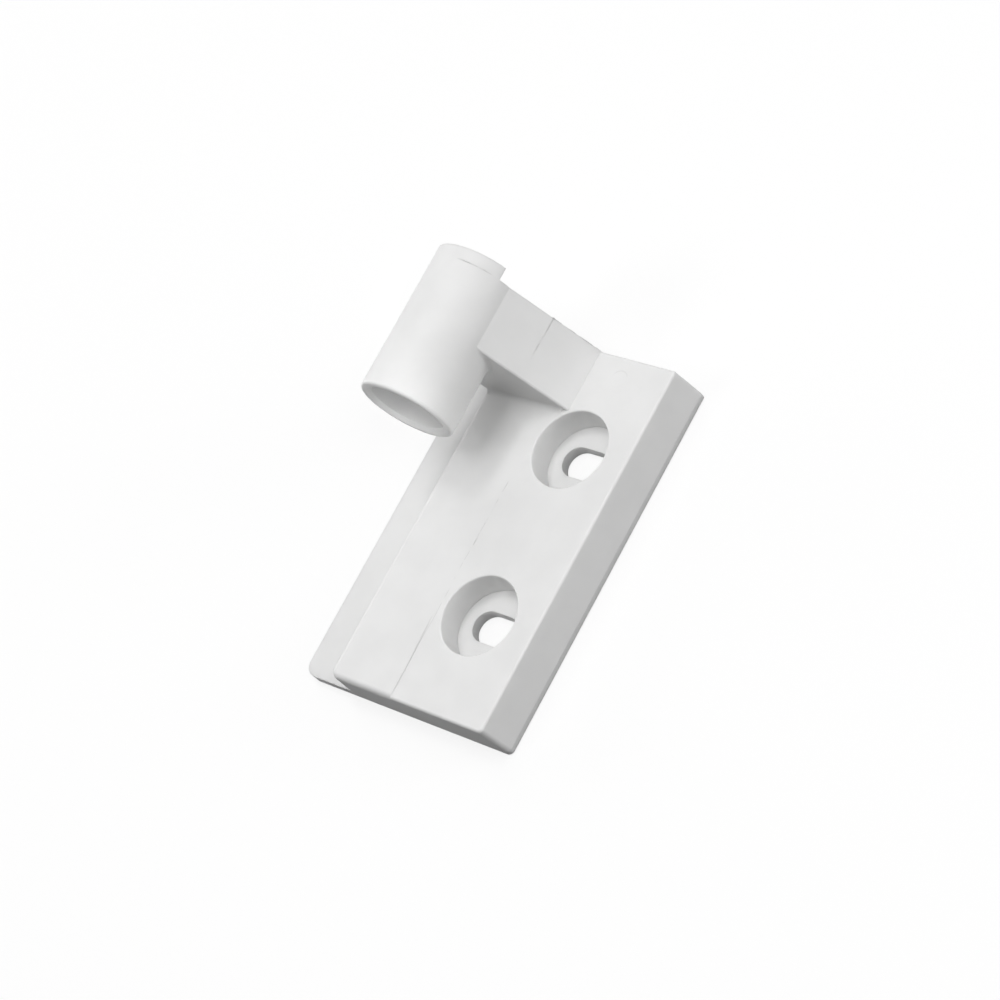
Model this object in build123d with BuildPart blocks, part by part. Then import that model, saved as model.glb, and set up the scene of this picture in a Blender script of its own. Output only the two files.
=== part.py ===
from build123d import *
import os
from math import cos, radians, sin, sqrt, tan

# Door leaf of a refrigerator door hinge, moulded in one piece.
# The origin is midway between the two screw slots, on the mounting face.
# X runs across the leaf towards its sloping side, Y along it towards the arm, Z away from the door.

# Raised pad
pad_length = 84.0
pad_thickness = 9.3
right_width = 17.1         # slot line to the foot of the sloping side
side_slope = 2.4           # how far the sloping side leans in over its height
side_land = 1.3            # upright strip below the sloping side
pad_corner = 2.0
near_corner = 1.2          # end of the sloping side away from the arm
far_corner = 0.7           # end of the sloping side beside the arm
pad_edge = 0.6
parting = 10.3             # slot line to the mould's parting line
soft_edge = 1.3            # rounding of the top left of the parting line

# Thin flange beyond the upright side
flange_width = 12.3
flange_thickness = 2.5
flange_corner = 3.0

# Screw slots, each sunk in a round recess
hole_spacing = 39.2
recess_radius = 8.9
recess_draft = 1.0         # degrees
recess_floor = 2.7
recess_edge = 0.3
slot_width = 7.0
slot_travel = 4.4

# Hollow back
wall = 2.5
roof = 2.5
cup_wall = 2.2
rib = 1.8
side_rib_offset = 18.3     # slot line to the rib beside the recesses

# Arm
arm_angle = 61.0           # lean of the arm, measured from the pad
arm_gap = 5.2              # slot line to the foot of the arm's outer face
arm_clearance = 0.15       # between the arm's foot and the rim of the upper recess
arm_spring = 0.6           # how far below the pad's top the inner face springs from its side
arm_edge = 0.5
arm_root = 1.2             # cove between the arm's lower end and the pad

# Barrel
barrel_height = 28.2       # mounting face to the barrel's axis
barrel_wall = 2.2
barrel_proud = 0.5         # how far the barrel stands out past each face of the arm
barrel_overhang = 16.4     # length of barrel below the arm
barrel_root = 0.8          # cove between the arm's lower end and the barrel
mouth_edge = 0.7
bore_radius = 8.4
bore_chamfer = 0.8
end_wall = 3.0
boss_height = 2.8
boss_edge = 0.5
boss_past = 0.4            # how far the boss reaches past the barrel's axis

# Shallow land in the bore that steadies the pivot
land_height = 0.15
land_setback = 1.0
land_start = -121.0
land_sweep = 73.0

# Places worked out from the sizes above
lean = radians(arm_angle)
rim_radius = recess_radius + recess_edge
end_y = pad_length / 2
slot_rows = (-hole_spacing / 2, hole_spacing / 2)

# The bore and its wall give the barrel, and the barrel gives the arm.
barrel_radius = bore_radius + barrel_wall
half_arm = barrel_radius - barrel_proud
arm_thickness = 2 * half_arm

# The arm comes down to the upper recess and clears its rim, and so does the toe of its cove.
arm_y = hole_spacing / 2 + sqrt((rim_radius + arm_clearance) ** 2 - arm_gap**2)
root_gap = sqrt((rim_radius + arm_clearance) ** 2 - (arm_y - arm_root - hole_spacing / 2) ** 2)
arm_width = end_y - arm_y
mouth_y = arm_y - barrel_overhang
boss_y = end_y + boss_height
bore_depth = end_y - end_wall - mouth_y
roof_z = pad_thickness - roof
top_right = right_width - side_slope

# The pad's upright side stands where the arm's inner face springs from it.
left_width = arm_gap + arm_thickness / sin(lean) - arm_spring / tan(lean)
hollow_width = left_width + right_width - 2 * wall
hollow_x = (right_width - left_width) / 2
barrel_x = -arm_gap - (half_arm + (barrel_height - pad_thickness) * cos(lean)) / sin(lean)
arm_down = (cos(lean), 0, -sin(lean))
arm_reach = (barrel_height + half_arm * cos(lean) - roof_z) / sin(lean)
barrel_centre = (barrel_x, barrel_height)


def upright_corners():
    """Edges of the pad that run neither along it nor across it."""
    return edges().filter_by(Axis.Y, reverse=True).filter_by(Axis.X, reverse=True)


def slope_ends():
    """Edges that end the sloping side and the strip below it."""
    return upright_corners().filter_by(lambda edge: edge.center().X > top_right)


with BuildPart() as hinge_leaf:
    # Pad, drawn as its section and run along Y
    with BuildSketch(Plane.XZ.offset(-end_y)):
        Polygon(
            (-left_width, 0),
            (right_width, 0),
            (right_width, side_land),
            (top_right, pad_thickness),
            (-left_width, pad_thickness),
            align=None,
        )
    extrude(amount=pad_length)
    fillet(upright_corners().group_by(Axis.X)[0].sort_by(Axis.Y)[0], pad_corner)
    fillet(slope_ends().group_by(Axis.Y)[0], near_corner)
    fillet(slope_ends().group_by(Axis.Y)[-1], far_corner)
    fillet(faces().sort_by(Axis.Z)[-1].edges(), pad_edge)

    # Softer top edge left of the parting line, run round the corner as far as the arm
    with BuildLine(Plane.XY.offset(pad_thickness)) as left_rim:
        FilletPolyline((-parting, -end_y), (-left_width, -end_y), (-left_width, arm_y), radius=pad_corner)
    with BuildSketch(Plane((-parting, -end_y, pad_thickness), (0, 1, 0), (-1, 0, 0))):
        Rectangle(soft_edge, soft_edge, align=Align.MIN)
        with Locations((soft_edge, soft_edge)):
            Circle(soft_edge, mode=Mode.SUBTRACT)
    sweep(path=left_rim.line, mode=Mode.SUBTRACT)

    # Arm, drawn as its section and run from the barrel's axis down into the pad
    with BuildSketch(Plane((barrel_x, end_y, barrel_height), (0, -1, 0), arm_down)):
        Rectangle(arm_width, arm_thickness, align=(Align.MIN, Align.CENTER))
        fillet(vertices().group_by(Axis.X)[-1].sort_by(Axis.Y)[0], arm_edge)
    extrude(amount=arm_reach)
    split(bisect_by=Plane.XY)

    # Cove along the foot of the arm's lower end
    with BuildSketch(Plane((-root_gap, arm_y, pad_thickness), (0, -1, 0), (-sin(lean), 0, -cos(lean)))):
        Rectangle(arm_root, arm_root, align=Align.MIN)
        with Locations((arm_root, arm_root)):
            Circle(arm_root, mode=Mode.SUBTRACT)
    extrude(amount=left_width - root_gap - pad_edge, dir=(-1, 0, 0))

    # Flange, run in under the pad's rounded corners
    with BuildSketch():
        with Locations((-left_width - flange_width, 0)):
            Rectangle(flange_width + pad_corner, pad_length, align=(Align.MIN, Align.CENTER))
        fillet(vertices().group_by(Axis.X)[0], flange_corner)
    extrude(amount=flange_thickness)

    # Hollow under the pad, with the sloping side's wall kept even
    with BuildSketch(Plane.XZ.offset(wall - end_y)):
        Polygon(
            (-left_width + wall, 0),
            (right_width - wall, 0),
            (top_right - wall, roof_z),
            (-left_width + wall, roof_z),
            align=None,
        )
    extrude(amount=pad_length - 2 * wall, mode=Mode.SUBTRACT)

    # Cups round the screw recesses, and ribs that tie them to the walls
    with BuildSketch():
        with Locations(*[(0, row) for row in slot_rows]):
            Circle(recess_radius + cup_wall)
        with Locations(*[(hollow_x, row) for row in (*slot_rows, 0)]):
            Rectangle(hollow_width, rib)
        with Locations((0, 0), (-side_rib_offset, 0)):
            Rectangle(rib, pad_length - 2 * wall)
    extrude(amount=roof_z)

    # Recesses, narrowing to their floors, with slots right through
    with BuildSketch(Plane.XY.offset(pad_thickness)):
        with Locations(*[(0, row) for row in slot_rows]):
            Circle(recess_radius)
    extrude(amount=recess_floor - pad_thickness, taper=recess_draft, mode=Mode.SUBTRACT)
    fillet(edges(Select.LAST).filter_by(GeomType.CIRCLE).group_by(Axis.Z)[-1], recess_edge)
    with BuildSketch():
        with Locations(*[(0, row) for row in slot_rows]):
            SlotOverall(slot_width + slot_travel, slot_width)
    extrude(amount=pad_thickness, mode=Mode.SUBTRACT)

    # Barrel, turned about its axis, with a rounded mouth and boss
    with BuildSketch(Plane.XY.offset(barrel_height)):
        with Locations((barrel_x, mouth_y)):
            Rectangle(barrel_radius, boss_y - mouth_y, align=Align.MIN)
        outer_corners = vertices().group_by(Axis.X)[-1].sort_by(Axis.Y)
        fillet(outer_corners[0], mouth_edge)
        fillet(outer_corners[-1], boss_edge)
    revolve(axis=Axis((barrel_x, 0, barrel_height), (0, 1, 0)))

    # The boss stands up only on the side away from the pad.
    with BuildSketch(Plane((barrel_x, boss_y, barrel_height), arm_down, (0, -1, 0))):
        with Locations((boss_past, 0)):
            Rectangle(2 * barrel_radius, 4 * barrel_radius, align=(Align.MIN, Align.CENTER))
    extrude(amount=boss_height, mode=Mode.SUBTRACT)

    # Cove where the arm's lower end meets the barrel
    arm_end = faces().filter_by(Axis.Y).sort_by(lambda face: abs(face.center().Y - arm_y))[0]
    fillet(arm_end.edges().filter_by(GeomType.CIRCLE).sort_by(SortBy.LENGTH)[-1], barrel_root)

    # Blind bore, with the land that steadies the pivot
    with BuildSketch(Plane.XZ.offset(-mouth_y - bore_depth)):
        with Locations(barrel_centre):
            Circle(bore_radius)
    extrude(amount=bore_depth, mode=Mode.SUBTRACT)
    mouth_rim = edges(Select.LAST).filter_by(GeomType.CIRCLE).sort_by(Axis.Y)[0]
    chamfer(mouth_rim, bore_chamfer)
    with BuildSketch(Plane.XZ.offset(-mouth_y - bore_depth)):
        with BuildLine():
            seat = CenterArc(barrel_centre, bore_radius + land_height, land_start, land_sweep)
            crown = CenterArc(barrel_centre, bore_radius - land_height, land_start, land_sweep)
            Line(seat @ 0, crown @ 0)
            Line(seat @ 1, crown @ 1)
        make_face()
    extrude(amount=bore_depth - land_setback)

hinge_leaf.part.label = "hinge_leaf"
os.makedirs("parts", exist_ok=True)
export_step(hinge_leaf.part, "parts/hinge_leaf.step")
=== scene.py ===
import math

import bpy
from mathutils import Matrix, Vector


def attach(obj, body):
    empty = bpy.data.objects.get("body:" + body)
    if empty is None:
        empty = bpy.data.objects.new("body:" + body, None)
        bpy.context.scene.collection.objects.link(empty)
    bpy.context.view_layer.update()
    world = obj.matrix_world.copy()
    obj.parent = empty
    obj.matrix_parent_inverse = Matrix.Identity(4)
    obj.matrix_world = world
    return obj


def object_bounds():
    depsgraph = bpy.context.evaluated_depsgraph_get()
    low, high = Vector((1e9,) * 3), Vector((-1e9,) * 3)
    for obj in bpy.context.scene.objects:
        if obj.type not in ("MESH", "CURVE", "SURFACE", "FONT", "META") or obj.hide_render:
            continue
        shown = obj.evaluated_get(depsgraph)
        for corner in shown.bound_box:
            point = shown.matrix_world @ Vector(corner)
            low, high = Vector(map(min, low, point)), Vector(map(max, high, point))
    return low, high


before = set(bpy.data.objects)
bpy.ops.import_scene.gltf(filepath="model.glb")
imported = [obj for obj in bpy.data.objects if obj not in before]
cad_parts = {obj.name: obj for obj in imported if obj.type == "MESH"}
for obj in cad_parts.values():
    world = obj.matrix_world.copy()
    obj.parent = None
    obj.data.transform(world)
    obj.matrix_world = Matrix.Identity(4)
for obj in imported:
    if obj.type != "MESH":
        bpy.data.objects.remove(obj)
cadLow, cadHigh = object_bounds()
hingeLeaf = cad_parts["hinge_leaf"]
perMetre = 1000.0              # millimetres, which most sizes below are in
print("frame loaded:", len(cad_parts), "node")


class Sock:  # one socket of a node tree, so that masks read as plain sums
    def __init__(self, tree, out):
        self.tree = tree
        self.out = out

    def math(self, operation, *others):
        node = self.tree.nodes.new("ShaderNodeMath")
        node.operation = operation
        for slot, value in zip(node.inputs, (self, *others)):
            if isinstance(value, Sock):
                self.tree.links.new(value.out, slot)
            else:
                slot.default_value = value
        return Sock(self.tree, node.outputs[0])

    def __add__(self, other):
        return self.math("ADD", other)

    def __sub__(self, other):
        return self.math("SUBTRACT", other)

    def __rsub__(self, other):
        return (self * -1.0) + other

    def __mul__(self, other):
        return self.math("MULTIPLY", other)

    def __truediv__(self, other):
        return self.math("DIVIDE", other)

    def __rtruediv__(self, other):
        return (self ** -1.0) * other

    def __pow__(self, other):
        return self.math("POWER", other)

    __radd__ = __add__
    __rmul__ = __mul__


class Nodes:  # adds nodes to one tree
    def __init__(self, tree):
        self.tree = tree

    # An input is named by its number, as in2 for the third, or by its label, as From_Min.
    def add(self, kind, settings=None, out=0, **inputs):
        node = self.tree.nodes.new(kind)
        for key, value in (settings or {}).items():
            setattr(node, key, value)
        for key, value in inputs.items():
            numbered = key.startswith("in") and key[2:].isdigit()
            slot = node.inputs[int(key[2:]) if numbered else key.replace("_", " ")]
            if isinstance(value, Sock):
                self.tree.links.new(value.out, slot)
            else:
                slot.default_value = value
        if isinstance(out, tuple):
            return [Sock(self.tree, node.outputs[key]) for key in out]
        return Sock(self.tree, node.outputs[out]) if node.outputs else None


class Shade(Nodes):  # builds one material
    def __init__(self, name):
        self.material = bpy.data.materials.new(name)
        self.material.use_nodes = True
        super().__init__(self.material.node_tree)
        self.tree.nodes.clear()

    def millimetres(self):
        place = self.add("ShaderNodeTexCoord", out="Object")
        return self.add("ShaderNodeVectorMath", {"operation": "SCALE"}, in0=place, Scale=perMetre)

    def parts(self, vector):
        return self.add("ShaderNodeSeparateXYZ", out=("X", "Y", "Z"), in0=vector)

    def noise(self, vector, size, detail):
        return self.add("ShaderNodeTexNoise", Vector=vector, Scale=1.0 / size, Detail=detail)

    def step(self, value, start, end):  # 0 at start, rising softly to 1 at end, which may be below it
        soft = {"interpolation_type": "SMOOTHSTEP"}
        return self.add("ShaderNodeMapRange", soft, Value=value, From_Min=start, From_Max=end)

    def band(self, value, centre, half, soft):  # 1 within half of centre, falling to 0 over soft
        return self.step((value - centre).math("ABSOLUTE"), half + soft, half)


view = {
    "place": (0.37953, -0.13413, 0.45589),  # metres, in the part's frame
    "right": (0.73292, 0.46862, -0.49317),
    "down": (0.23133, -0.85339, -0.46713),
    "forward": (-0.63978, 0.22828, -0.73388),
    "lens": 107.26,
    "sensor": 36.0,
    "seenFrom": 0.01,          # metres from the camera
    "seenTo": 20.0,
}


def makeCamera():
    camera = bpy.data.cameras.new("photoCamera")
    camera.lens = view["lens"]
    camera.sensor_width = view["sensor"]
    camera.clip_start = view["seenFrom"]
    camera.clip_end = view["seenTo"]
    stand = bpy.data.objects.new("photoCamera", camera)
    bpy.context.scene.collection.objects.link(stand)
    turn = Matrix((view["right"], -Vector(view["down"]), -Vector(view["forward"]))).transposed()
    stand.matrix_world = Matrix.Translation(view["place"]) @ turn.to_4x4()
    bpy.context.scene.camera = stand


makeCamera()
print("camera set")


studio = {
    "floorSide": 6.0,          # sizes in metres
    "floorDrop": 0.0002,       # how far the floor lies below the part
    "floorShade": 0.06,        # what the floor throws back on to the part
    "floorSeen": 0.97,         # the floor as the camera sees it
    "shadowShare": 0.2,        # how much of the shadow shows
    "worldShade": 0.04,
    "lampAway": 0.9,
    "lamps": {                 # turn about Z from +X, height in degrees, side, power in watts
        "overheadSoftbox": (0, 90, 0.50, 3.65),
        "overheadKey": (112, 72, 0.12, 0.89),
        "slopeSoftbox": (15, 30, 0.70, 1.06),
        "slopeKey": (0, 50, 0.25, 1.20),
        "slopeLow": (30, 10, 0.40, 2.04),
        "sideLow": (0, 8, 0.30, 0.52),
        "backSoftbox": (135, 22, 0.50, 1.03),
        "backKey": (135, 50, 0.25, 0.58),
        "barrelSoftbox": (180, 10, 0.50, 2.20),
        "flangeKey": (225, 50, 0.25, 1.15),
    },
    "mouthSpot": {             # narrow lamp that reaches into the barrel
        "aim": (-0.0295, 0.0115, 0.0260),
        "turn": 317,
        "height": 34,
        "cone": 1.25,
        "blend": 0.9,
        "radius": 0.01,
        "power": 23.0,
    },
}


def hangLight(light, aim, turn, height):
    lamp = bpy.data.objects.new(light.name, light)
    bpy.context.scene.collection.objects.link(lamp)
    turn, height = math.radians(turn), math.radians(height)
    toward = Vector((math.cos(turn) * math.cos(height), math.sin(turn) * math.cos(height), math.sin(height)))
    lamp.location = aim + toward * studio["lampAway"]
    lamp.rotation_mode = "QUATERNION"
    lamp.rotation_quaternion = (-toward).to_track_quat("-Z", "Y")


def makeLamp(name, turn, height, side, power):
    light = bpy.data.lights.new(name, "AREA")
    light.shape = "SQUARE"
    light.size = side
    light.energy = power
    hangLight(light, (cadLow + cadHigh) / 2, turn, height)


def makeSpot(name, sizes):
    light = bpy.data.lights.new(name, "SPOT")
    light.energy = sizes["power"]
    light.spot_size = math.radians(sizes["cone"])
    light.spot_blend = sizes["blend"]
    light.shadow_soft_size = sizes["radius"]
    hangLight(light, Vector(sizes["aim"]), sizes["turn"], sizes["height"])


def makeWorld():
    world = bpy.data.worlds.new("paleRoom")
    bpy.context.scene.world = world
    world.use_nodes = True
    room = Nodes(world.node_tree)
    room.tree.nodes.clear()
    seen = room.add("ShaderNodeLightPath", out="Is Camera Ray")
    strength = seen * (1.0 - studio["worldShade"]) + studio["worldShade"]
    glow = room.add("ShaderNodeBackground", Color=(1.0, 1.0, 1.0, 1.0), Strength=strength)
    room.add("ShaderNodeOutputWorld", Surface=glow)


def makeFloor():
    half = studio["floorSide"] / 2
    corners = [(x * half, y * half, -studio["floorDrop"]) for x, y in ((-1, -1), (1, -1), (1, 1), (-1, 1))]
    mesh = bpy.data.meshes.new("floor")
    mesh.from_pydata(corners, [], [(0, 1, 2, 3)])
    floor = bpy.data.objects.new("floor", mesh)
    bpy.context.scene.collection.objects.link(floor)
    shade = Shade("paleFloor")
    own, seenOwn = [
        shade.add("ShaderNodeBsdfDiffuse", Color=(tone, tone, tone, 1.0))
        for tone in (studio["floorShade"], studio["floorSeen"])
    ]
    white = shade.add("ShaderNodeEmission", Color=(1.0, 1.0, 1.0, 1.0), Strength=1.0)
    seenMix = shade.add("ShaderNodeMixShader", Fac=1.0 - studio["shadowShare"], in1=seenOwn, in2=white)
    rays = ("Is Camera Ray", "Is Glossy Ray", "Is Transmission Ray")
    byCamera, byGloss, throughGlass = shade.add("ShaderNodeLightPath", out=rays)
    anySeen = byCamera.math("MAXIMUM", byGloss).math("MAXIMUM", throughGlass)
    mixed = shade.add("ShaderNodeMixShader", Fac=anySeen, in1=own, in2=seenMix)
    clear = shade.add("ShaderNodeBsdfTransparent")
    underside = shade.add("ShaderNodeNewGeometry", out="Backfacing")
    oneSided = shade.add("ShaderNodeMixShader", Fac=underside, in1=mixed, in2=clear)
    shade.add("ShaderNodeOutputMaterial", Surface=oneSided)
    mesh.materials.append(shade.material)


for name, sizes in studio["lamps"].items():
    makeLamp(name, *sizes)
makeSpot("mouthSpot", studio["mouthSpot"])
makeWorld()
makeFloor()
print("floor and light set")


leaf = {                       # places of the moulding that its marks follow, in mm
    "padTop": 9.3,
    "farEnd": 42.0,
    "barrelAxis": (-27.224, 28.2),
    "barrelRadius": 10.6,
    "gateCentre": (2.61, 37.08),
    "gateRadius": 1.9,
}

plastic = {
    "colour": (0.80, 0.80, 0.797),
    "clouding": 0.03,          # how far the colour wanders
    "clouds": (8.0, 3.0),      # size in mm and detail of the noise
    "cloudEdges": (0.3, 0.7),
    "roughness": 0.55,
    "roughnessSpread": 0.10,
    "cloudRoughness": 0.4,     # the clouds' share of that spread, against the grain's
    "milkiness": 0.8,          # share of light that wanders inside the plastic
    "milkReach": 0.0012,       # how far it wanders, in metres
    "grain": (0.25, 2.0),
    "grainDepth": 0.003,       # depths in mm
    "peel": (2.2, 1.0),        # long soft waves of the surface
    "peelDepth": 0.008,
    "speckSpacing": 5.0,
    "speckSize": 0.10,
    "speckPick": (0.62, 0.63),  # share of the places that stay bare
    "speckTone": 0.25,
    "speckDepth": 0.01,
}

witness = {                    # fine lines left by the mould, places in mm
    "width": 0.04,
    "height": 0.01,
    "tone": 0.16,
    "roughen": 0.15,
    "drift": (6.0, 0.0),       # size and detail of the noise that sways the lines
    "gaps": (2.6, 2.0),        # and of the one that breaks them
    "gapEdges": (0.44, 0.56),
    "topReach": (0.05, 0.1),   # how near the pad's top a line lies
    # Each line fades in between the two places of its end, whole, start or above.
    "pad": {"x": -10.3, "sway": 0.5, "end": (12.0, 8.0), "whole": (-22.0, -24.0), "strength": (0.0, 0.95)},
    "arm": {"x": -11.25, "sway": 0.3, "z": 20.4, "reach": 0.6, "start": (31.8, 32.8), "strength": (0.1, 0.5)},
    "armGap": {"y": 36.6, "half": 0.5, "soft": 0.2},
    "boss": {"x": -22.2, "reach": 3.0, "soft": 0.8, "above": (33.5, 34.5), "strength": (0.3, 1.0)},
    "bossWidth": 0.8,          # of the other lines' width
    "gate": {"half": 0.05, "soft": 0.1, "tone": 0.08, "depth": 0.02, "near": 0.15, "rise": (0.6, 1.4)},
}


def makeWitness(shade, place):
    x, y, z = shade.parts(place)
    drift = shade.noise(place, *witness["drift"]) - 0.5
    broken = shade.step(shade.noise(place, *witness["gaps"]), *witness["gapEdges"])
    line = witness["width"]
    pad, arm, armGap, boss, gate = [witness[key] for key in ("pad", "arm", "armGap", "boss", "gate")]
    padTop = shade.band(z, leaf["padTop"], *witness["topReach"])

    def patchy(strength):  # what is left in the gaps, and how much more there is in the runs
        return broken * strength[1] + strength[0]

    padLine = shade.band(x + drift * pad["sway"], pad["x"], line, line) * padTop * shade.step(y, *pad["end"])
    padLine = padLine * (patchy(pad["strength"]) + shade.step(y, *pad["whole"])).math("MINIMUM", 1.0)

    armLine = shade.band(x + drift * arm["sway"], arm["x"], line, line)
    armLine = armLine * shade.band(z, arm["z"], arm["reach"], arm["reach"] / 2) * shade.step(y, *arm["start"])
    gap = shade.band(y, armGap["y"], armGap["half"], armGap["soft"])
    armLine = armLine * patchy(arm["strength"]) * (1.0 - gap)

    bossLine = shade.band(y, leaf["farEnd"], line * witness["bossWidth"], line)
    bossLine = bossLine * shade.band(x, boss["x"], boss["reach"], boss["soft"])
    bossLine = bossLine * shade.step(z, *boss["above"]) * patchy(boss["strength"])

    gateX, gateY = leaf["gateCentre"]
    fromGate = ((x - gateX) ** 2.0 + (y - gateY) ** 2.0) ** 0.5
    gateLine = shade.band(fromGate, leaf["gateRadius"], gate["half"], gate["soft"]) * padTop
    farSide = shade.step(y, *[gateY + rise for rise in gate["rise"]])
    gateLine = gateLine * (farSide * (1.0 - gate["near"]) + gate["near"])
    return padLine.math("MAXIMUM", armLine).math("MAXIMUM", bossLine), gateLine


def makeSpecks(shade, place):
    spacing = plastic["speckSpacing"]
    cells = shade.add("ShaderNodeTexVoronoi", out=("Distance", "Color"), Vector=place, Scale=1.0 / spacing)
    away, dice = cells
    chosen = shade.step(shade.parts(dice)[0], *plastic["speckPick"])
    edge = plastic["speckSize"] / spacing
    return (1.0 - shade.step(away, edge / 2, edge)) * chosen


def makePlastic():
    shade = Shade("whitePlastic")
    place = shade.millimetres()
    clouds = shade.step(shade.noise(place, *plastic["clouds"]), *plastic["cloudEdges"])
    grain = shade.noise(place, *plastic["grain"])
    peel = shade.noise(place, *plastic["peel"])
    lines, gate = makeWitness(shade, place)
    specks = makeSpecks(shade, place)
    dark = (1.0 - clouds) * plastic["clouding"] + lines * witness["tone"]
    dark = dark + gate * witness["gate"]["tone"] + specks * plastic["speckTone"]
    colour = shade.add(
        "ShaderNodeMix",
        {"data_type": "RGBA"},
        out=2,
        in0=dark,
        in6=(*plastic["colour"], 1.0),
        in7=(0.0, 0.0, 0.0, 1.0),
    )
    spread, cloudy = plastic["roughnessSpread"], plastic["cloudRoughness"]
    least = plastic["roughness"] - spread * (1.0 + cloudy) / 2  # so that the spread lies round it
    rough = grain * spread + clouds * (spread * cloudy) + least + lines * witness["roughen"]
    height = grain * plastic["grainDepth"] + peel * plastic["peelDepth"] + lines * witness["height"]
    height = height - gate * witness["gate"]["depth"] - specks * plastic["speckDepth"]
    bump = shade.add("ShaderNodeBump", Strength=1.0, Distance=1.0 / perMetre, Height=height)
    surface = shade.add(
        "ShaderNodeBsdfPrincipled",
        Base_Color=colour,
        Roughness=rough,
        Normal=bump,
        Subsurface_Weight=plastic["milkiness"],
        Subsurface_Radius=(1.0, 1.0, 1.0),
        Subsurface_Scale=plastic["milkReach"],
    )
    shade.add("ShaderNodeOutputMaterial", Surface=surface)
    return shade.material


whitePlastic = makePlastic()
hingeLeaf.data.materials.clear()
hingeLeaf.data.materials.append(whitePlastic)
for face in hingeLeaf.data.polygons:
    face.material_index = 0
print("plastic set")


flash = {                      # proud threads of plastic where the mould's parts met, in mm
    "seams": [                 # share of the thread that is there, its thickness, then its points
        (1.0, 1.0, [(-10.1, -41.2, 9.3), (-10.3, -33.0, 9.3), (-10.8, -23.0, 9.3)]),
        (0.45, 1.0, [(-10.6, -20.0, 9.3), (-10.3, -9.0, 9.3), (-10.3, -4.0, 9.3), (-10.2, 10.0, 9.3)]),
        (0.8, 1.0, [(-11.2, 42.0, 20.12), (-11.25, 37.2, 20.21)]),
        (0.8, 0.8, [(-11.3, 36.0, 20.30), (-11.35, 31.8, 20.39)]),
        (0.6, 2.2, [(-5.3, 42.0, 9.48), (-8.2, 42.0, 14.71), (-11.4, 42.0, 20.48)]),  # arm's far edge
        (1.0, 3.4, [(-11.1, 42.0, 19.94), (-11.3, 42.1, 20.40)]),
        (1.0, 3.0, [(-5.3, 42.0, 9.45), (-5.2, 42.1, 9.75)]),
        (0.55, 1.6, [(-7.0, 27.42, 12.55), (-12.0, 27.42, 21.57), (-16.6, 27.42, 29.87)]),  # arm's lower edge
    ],
    "barrel": {"share": 0.7, "girth": 1.2, "from": 11, "to": 48},
    "gate": {"share": 0.5, "girth": 1.0, "from": 50, "to": 120},
    "arcSteps": 12,
    "bead": 0.035,             # radius of the thread
    "beadSides": 8,
    "stride": 0.25,            # length of one piece of it
    "breakSize": 1.3,          # how long the gaps and the runs between them are
    "cut": (0.26, 0.76),       # noise above which a thread is gone, for a share of none and of all
    "swell": (0.55, 1.35),     # least and greatest thickness along it
    "tip": 0.05,               # how thin it ends
    "tipCurve": 0.35,
    "seed": 4,
}


def onBarrel(angle):  # angle from the top towards the pad
    across, up = leaf["barrelAxis"]
    radius = leaf["barrelRadius"]
    return (across + radius * math.sin(angle), leaf["farEnd"], up + radius * math.cos(angle))


def onGate(angle):
    x, y = leaf["gateCentre"]
    radius = leaf["gateRadius"]
    return (x + radius * math.cos(angle), y + radius * math.sin(angle), leaf["padTop"])


def arcSeam(sizes, place):
    steps = flash["arcSteps"]
    spread = [sizes["from"] + (sizes["to"] - sizes["from"]) * step / steps for step in range(steps + 1)]
    return sizes["share"], sizes["girth"], [place(math.radians(angle)) for angle in spread]


class Geo(Nodes):  # builds one Geometry Nodes tree
    def __init__(self, name, sizes):
        super().__init__(bpy.data.node_groups.new(name, "GeometryNodeTree"))
        face = self.tree.interface
        face.new_socket("Geometry", in_out="OUTPUT", socket_type="NodeSocketGeometry")
        face.new_socket("Geometry", in_out="INPUT", socket_type="NodeSocketGeometry")
        for key in sizes:
            face.new_socket(key, in_out="INPUT", socket_type="NodeSocketFloat")
        keys = ("Geometry", *sizes)
        self.given = dict(zip(keys, self.add("NodeGroupInput", out=keys)))
        self.sizes = sizes

    def stored(self, key):
        return self.add("GeometryNodeInputNamedAttribute", {"data_type": "FLOAT"}, Name=key)

    def close(self, shape, material):
        whole = self.add("GeometryNodeRealizeInstances", Geometry=shape)
        skinned = self.add("GeometryNodeSetMaterial", Geometry=whole, Material=material)
        self.add("NodeGroupOutput", in0=skinned)

    def run(self, name, seedMesh):
        rough = bpy.data.objects.new(name + "Seed", seedMesh)
        bpy.context.scene.collection.objects.link(rough)
        modifier = rough.modifiers.new(name, "NODES")
        modifier.node_group = self.tree
        for item in self.tree.interface.items_tree:  # a modifier's input goes by its identifier
            if item.in_out == "INPUT" and item.name in self.sizes:
                modifier[item.identifier] = float(self.sizes[item.name])
        graph = bpy.context.evaluated_depsgraph_get()
        mesh = bpy.data.meshes.new_from_object(rough.evaluated_get(graph), depsgraph=graph)
        bpy.data.objects.remove(rough)
        mesh.name = name
        piece = bpy.data.objects.new(name, mesh)
        bpy.context.scene.collection.objects.link(piece)
        return piece


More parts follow.
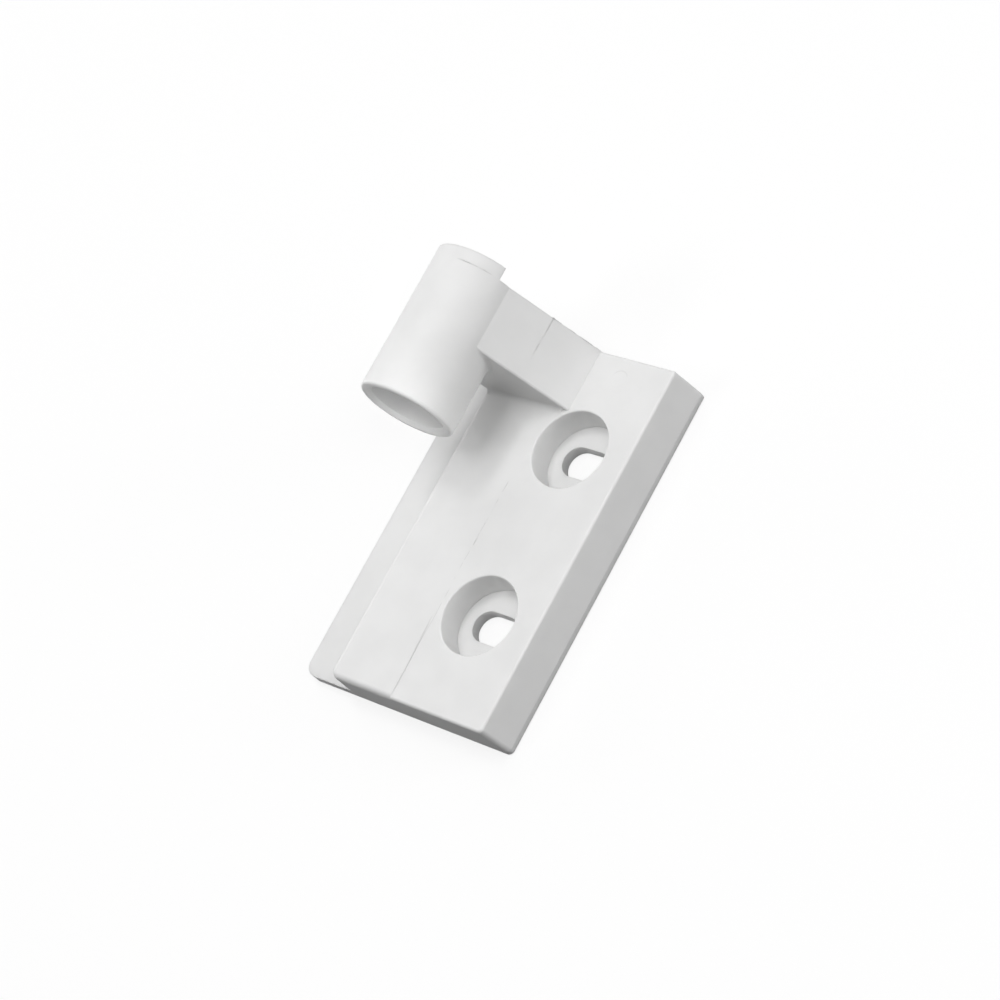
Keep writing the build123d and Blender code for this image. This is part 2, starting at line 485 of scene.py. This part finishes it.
def makeSeamRuns():
    seams = [*flash["seams"], arcSeam(flash["barrel"], onBarrel), arcSeam(flash["gate"], onGate)]
    points, edges, shares, girths = [], [], [], []
    for share, girth, run in seams:
        first = len(points)
        points += [tuple(value / perMetre for value in point) for point in run]
        edges += [(first + step, first + step + 1) for step in range(len(run) - 1)]
        shares += [share] * len(run)
        girths += [girth] * len(run)
    mesh = bpy.data.meshes.new("seamRuns")
    mesh.from_pydata(points, edges, [])
    for key, values in (("share", shares), ("girth", girths)):
        mesh.attributes.new(key, "FLOAT", "POINT").data.foreach_set("value", values)
    return mesh


def makeFlash():
    sizes = {key: flash[key] / perMetre for key in ("bead", "stride", "breakSize")}
    geo = Geo("flashThreads", {**sizes, "seed": flash["seed"]})
    given = geo.given
    runs = geo.add("GeometryNodeMeshToCurve", Mesh=given["Geometry"])
    runs = geo.add("GeometryNodeResampleCurve", {"mode": "LENGTH"}, Curve=runs, Length=given["stride"])
    threads = geo.add("GeometryNodeCurveToMesh", Curve=runs)
    seeded = {"noise_dimensions": "4D"}
    waves = geo.add("ShaderNodeTexNoise", seeded, W=given["seed"], Scale=1.0 / given["breakSize"], Detail=1.0)
    none, full = flash["cut"]
    limit = geo.stored("share") * (full - none) + none
    gone = geo.add("FunctionNodeCompare", {"operation": "GREATER_THAN"}, in0=waves, in1=limit)
    threads = geo.add("GeometryNodeDeleteGeometry", {"domain": "POINT"}, Geometry=threads, Selection=gone)
    runs = geo.add("GeometryNodeMeshToCurve", Mesh=threads)
    along = geo.add("GeometryNodeSplineParameter")
    thin, thick = flash["swell"]
    taper = (along * math.pi).math("SINE").math("MAXIMUM", flash["tip"]) ** flash["tipCurve"]
    swell = taper * (waves * (thick - thin) + thin) * geo.stored("girth")
    ring = geo.add("GeometryNodeCurvePrimitiveCircle", Resolution=flash["beadSides"], Radius=given["bead"])
    beads = geo.add("GeometryNodeCurveToMesh", Curve=runs, Profile_Curve=ring, Scale=swell, Fill_Caps=True)
    geo.close(beads, whitePlastic)
    return geo.run("mouldFlash", makeSeamRuns())


mouldFlash = makeFlash()
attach(mouldFlash, "root")
print("mould flash made:", len(mouldFlash.data.polygons), "faces")

bpy.context.scene.view_settings.view_transform = "Standard"
